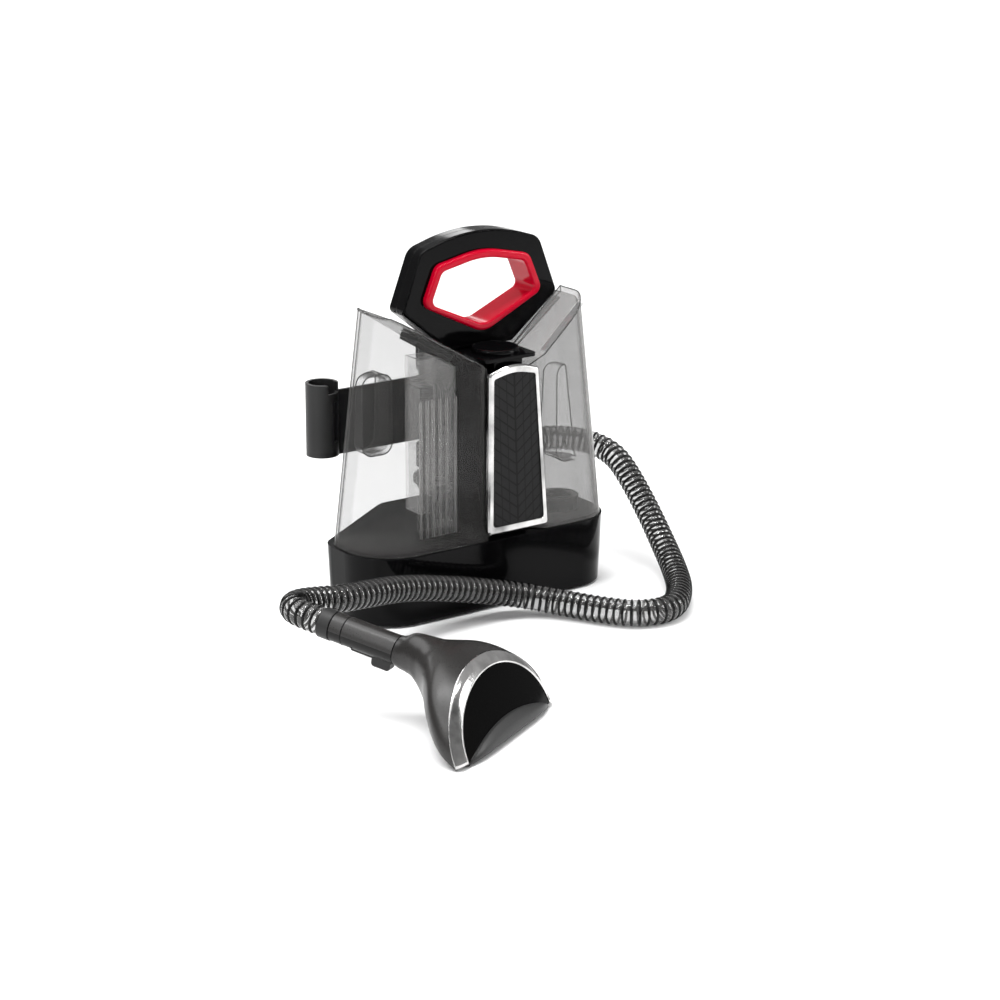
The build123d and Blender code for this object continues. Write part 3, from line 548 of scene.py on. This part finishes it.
# ---- hand tool -----------------------------------------------------------------------------
TOOL_AT = (-0.196, -0.342, 0.0)     # middle of the mouth, on the floor
TOOL_YAW = 27.9
FACE_TILT = math.radians(22)        # the nozzle's face leans back from upright
FACE_LOW = 4.0                      # the face's chord, up from the floor
BAND_HALF, BAND_UP = 86.0, 69.0     # half width and rise of the band's outer edge
WINDOW_HALF, WINDOW_UP = 75.0, 57.0
TOOL = (Matrix.Translation(TOOL_AT) @ Matrix.Rotation(math.radians(TOOL_YAW), 4, "Z")
        @ Matrix.Scale(MM, 4))


def on_tool(rings):
    return [[TOOL @ p for p in ring] for ring in rings]


def on_face(x, depth, up):
    """Place on the nozzle's leaning face: depth runs back from it, up runs along it."""
    y = depth * math.cos(FACE_TILT) + up * math.sin(FACE_TILT)
    z = -depth * math.sin(FACE_TILT) + up * math.cos(FACE_TILT)
    return TOOL @ Vector((x, y, z))


def on_arch(half, rise, turn, depth):
    """Place on a half oval that stands on the face's chord."""
    return on_face(half * math.cos(turn), depth, FACE_LOW + rise * math.sin(turn))


def smooth_rows(rows, count):
    """Rows of numbers carried smoothly through their given values."""
    out = []
    for k in range(count + 1):
        at = k * (len(rows) - 1) / count
        i = min(int(at), len(rows) - 2)
        t = at - i
        four = rows[max(i - 1, 0)], rows[i], rows[i + 1], rows[min(i + 2, len(rows) - 1)]
        out.append([0.5 * (2 * q + (r - p) * t + (2 * p - 5 * q + 4 * r - s) * t * t
                           + (3 * q - p - 3 * r + s) * t ** 3) for p, q, r, s in zip(*four)])
    return out


# neck sections from the grip to the band: y, z, lean in degrees, half width, above, below,
# and squareness of the lower half
NECK_ROWS = [
    (104.0, 58.5, -10, 12.7, 12.7, 12.7, 2.0), (99, 58, -9, 13.0, 14.5, 15, 2.0),
    (92, 57, -6, 14.5, 18.5, 16, 2.1), (85, 54, -2, 17, 22, 16, 2.2),
    (76, 49, 2, 22, 26, 20, 2.4), (64, 41, 7, 34, 32, 22, 2.8), (50, 31, 12, 54, 42, 17, 3.2),
    (36, 22, 16, 71, 51.5, 11, 3.8), (22, 12, 19, 81, 61, 6.5, 5.0),
    (5.4, 2.1, 22, 86, 69, 1.0, 6.0),
]
NECK_SECTIONS, SECTION_POINTS = 54, 72
neck_rings = []
for y, z, lean, half, above, below, square in smooth_rows(NECK_ROWS, NECK_SECTIONS):
    tilt = math.radians(lean)
    ring = []
    for k in range(SECTION_POINTS):
        turn = math.tau * k / SECTION_POINTS
        c, s = math.cos(turn), math.sin(turn)
        power = 2.0 / square if s < 0 else 1.0
        x = half * math.copysign(abs(c) ** power, c)
        up = above * s if s >= 0 else -below * abs(s) ** power
        ring.append(TOOL @ Vector((x, y + up * math.sin(tilt), z + up * math.cos(tilt))))
    neck_rings.append(ring)
nozzle_shell = add_mesh("nozzle_shell", *skin(neck_rings))
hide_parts("nozzle_body")
finish_piece(nozzle_shell, "nozzle", LOOKS["grip_satin"])

# chrome band: a crowned strip from the shell's edge in to the window, turned in at its end
ARC_STEPS = 72
BAND_STEPS = 12
BAND_CROWN = 1.6
BAND_START, BAND_FALL = 4.2, 7.0        # depth at the outer edge, and how far it comes forward
BAND_TURN_IN, BAND_END = 0.5, 3.0
band_rings = []
for k in range(ARC_STEPS + 1):
    turn = math.pi * k / ARC_STEPS
    ring = []
    for across in range(BAND_STEPS + 1):
        part = across / BAND_STEPS
        crown = BAND_CROWN * math.sin(math.pi * part)
        half = BAND_HALF + (WINDOW_HALF - BAND_HALF) * part + crown
        rise = BAND_UP + (WINDOW_UP - BAND_UP) * part + crown
        ring.append(on_arch(half, rise, turn, BAND_START - BAND_FALL * part - crown * 0.4))
    ring.append(on_arch(WINDOW_HALF - BAND_TURN_IN, WINDOW_UP - BAND_TURN_IN, turn, BAND_END))
    band_rings.append(ring)
chrome_band = add_mesh("nozzle_chrome_band", *skin(band_rings, caps=True))
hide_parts("nozzle_band")
finish_piece(chrome_band, "nozzle", LOOKS["chrome_trim"])

# window: a domed half oval on its chord
WINDOW_RINGS = 15
WINDOW_EDGE, WINDOW_DOME, WINDOW_POWER = -1.6, 2.0, 2.5
window_rings = []
for ring_index in range(WINDOW_RINGS + 1):
    part = 1 - ring_index / WINDOW_RINGS
    depth = WINDOW_EDGE - WINDOW_DOME * (1 - part ** WINDOW_POWER)
    window_rings.append([on_arch(WINDOW_HALF * part, WINDOW_UP * part,
                                 math.pi * k / ARC_STEPS, depth)
                         for k in range(ARC_STEPS + 1)])
window = add_mesh("nozzle_dark_window", *skin(window_rings, closed=False))
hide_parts("nozzle_window")
finish_piece(window, "nozzle", LOOKS["window_smoke"])

# the mouth's lip along the window's chord
LIP_STEPS = 48
LIP_RISE, LIP_LEAST = 15.0, 0.4
LIP_INSET = 3.0
LIP_SECTION = [(4.2, -2.2, 0.0), (6.0, 0.0, 0.0), (5.4, 0.0, 0.5), (4.8, 0.0, 0.9),
               (4.0, 0.0, 1.0), (0.0, 0.0, 1.0)]       # forward, up, and part of the rise
lip_rings = []
for k in range(LIP_STEPS + 1):
    x = -1 + 2 * k / LIP_STEPS
    rise = LIP_RISE * (1 - x * x) + LIP_LEAST
    half = (WINDOW_HALF - LIP_INSET) * x
    reach = 1 - abs(x) ** 6
    ring = [on_face(half, 1.0, FACE_LOW - 3)]
    ring += [on_face(half, -1 - forward * reach, FACE_LOW + up + rise * part)
             for forward, up, part in LIP_SECTION]
    lip_rings.append(ring)
lip = add_mesh("nozzle_lip", *skin(lip_rings, caps=True))
finish_piece(lip, "nozzle", LOOKS["lip_satin"])

# tufts of fine tapered bristles under the nozzle
TUFT_ROWS, TUFTS_PER_ROW, BRISTLES_PER_TUFT = 2, 16, 16
TUFT_FROM, TUFT_PITCH = (-60, 16, 8.0), (8, 6)
TUFT_R, TUFT_SPLAY = 1.7, 1.7
BRISTLE_DROP, BRISTLE_UNEVEN = 7.4, 0.3
BRISTLE_ROOT_R, BRISTLE_TIP_R = 0.22, 0.13
random.seed(7)
bristle_points, bristle_faces = [], []
for row in range(TUFT_ROWS):
    for index in range(TUFTS_PER_ROW):
        root = Vector(TUFT_FROM) + Vector((index * TUFT_PITCH[0], row * TUFT_PITCH[1], 0))
        for _ in range(BRISTLES_PER_TUFT):
            turn, off = random.uniform(0, math.tau), TUFT_R * math.sqrt(random.random())
            top = root + Vector((off * math.cos(turn), off * math.sin(turn), 0))
            drop = BRISTLE_DROP + random.random() * BRISTLE_UNEVEN
            tip = root + Vector((off * TUFT_SPLAY * math.cos(turn),
                                 off * TUFT_SPLAY * math.sin(turn), -drop))
            first = len(bristle_points)
            ends = [circle((top, X_AXIS, Y_AXIS), BRISTLE_ROOT_R, 4),
                    circle((tip, X_AXIS, Y_AXIS), BRISTLE_TIP_R, 4)]
            more, quads = skin(on_tool(ends), first=first)
            bristle_points += more
            bristle_faces += quads + [tuple(range(first + 4, first + 8))]
bristles = add_mesh("nozzle_bristles", bristle_points, bristle_faces, smooth=False)
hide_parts("brush_bristles")
finish_piece(bristles, "nozzle", LOOKS["red_bristle"])

# thin dark seam rings round the grip
CUFF_BACK, CUFF_FRONT = Vector((0, 166.0, 69.5)), Vector((0, 104.0, 58.5))
GRIP_STEP = (CUFF_FRONT - CUFF_BACK).normalized()
GRIP_UP = Vector((0, GRIP_STEP.z, -GRIP_STEP.y))
SEAM_R, SEAM_THICK = 12.45, 0.55
SEAMS = (("grip_seam_cuff", 0.2), ("grip_seam_collar", 12.5), ("grip_seam_neck", 62.4))
for name, along in SEAMS:
    place = (CUFF_BACK + GRIP_STEP * along, X_AXIS, GRIP_UP)
    rings = on_tool(hoop_rings(place, GRIP_STEP, SEAM_R, SEAM_THICK, 48))
    finish_piece(add_mesh(name, *skin(rings)), "chassis", LOOKS["black_gloss"])


# ---- studio --------------------------------------------------------------------------------
def area_light(name, place, target, size, power):
    data = bpy.data.lights.new(name, "AREA")
    data.shape = "RECTANGLE"
    data.size, data.size_y = size
    data.energy = power
    lamp = bpy.data.objects.new(name, data)
    lamp.location = place
    lamp.rotation_euler = (Vector(target) - Vector(place)).to_track_quat("-Z", "Y").to_euler()
    scene.collection.objects.link(lamp)


area_light("key_left", (-1.5, -0.5, 0.8), (0, 0, 0.15), (0.14, 1.3), 8)
area_light("long_strip", (-0.1, -0.25, 1.6), (-0.05, -0.1, 0.1), (1.5, 0.08), 12)
area_light("right_box", (1.25, -0.9, 0.75), (0, 0, 0.15), (0.4, 1.0), 12)
area_light("back_fill", (0.3, 1.7, 1.0), (0, 0, 0.2), (1.6, 0.3), 6)

sun_data = bpy.data.lights.new("soft_sun", "SUN")
sun_data.energy = 3.0
sun_data.angle = math.radians(60)
sun = bpy.data.objects.new("soft_sun", sun_data)
sun.rotation_euler = (math.radians(-12), math.radians(-14), 0)
scene.collection.objects.link(sun)

FLOOR_HALF = 12
floor_points = [(x * FLOOR_HALF, y * FLOOR_HALF, 0)
                for x, y in ((-1, -1), (1, -1), (1, 1), (-1, 1))]
floor = add_mesh("floor", floor_points, [(0, 1, 2, 3)], smooth=False)
floor_look, floor_tree, floor_shader = shader_tree("floor_paper")
floor_tree.links.new(tint(floor_tree, noise(floor_tree, 2.0), grey(0.89), grey(0.9)),
                     floor_shader.inputs["Base Color"])
floor_shader.inputs["Roughness"].default_value = 0.9
floor_shader.inputs["Specular IOR Level"].default_value = 0.1
floor.data.materials.append(floor_look)

# The backdrop is white to the camera and gives less light than that, so blacks stay deep.
BACKDROP_SEEN, BACKDROP_LIGHT = 1.0, 0.34
world = bpy.data.worlds.new("studio")
world.use_nodes = True
backdrop = world.node_tree.nodes["Background"]
backdrop.inputs["Color"].default_value = (1, 1, 1, 1)
rays = add_node(world.node_tree, "ShaderNodeLightPath")
strength = add_node(world.node_tree, "ShaderNodeMapRange",
                    {"Value": rays.outputs["Is Camera Ray"], "To Min": BACKDROP_LIGHT,
                     "To Max": BACKDROP_SEEN})
world.node_tree.links.new(strength.outputs["Result"], backdrop.inputs["Strength"])
scene.world = world
scene.view_settings.view_transform = "Standard"
scene.cycles.transparent_max_bounces = 32       # deep enough for a look through both tanks
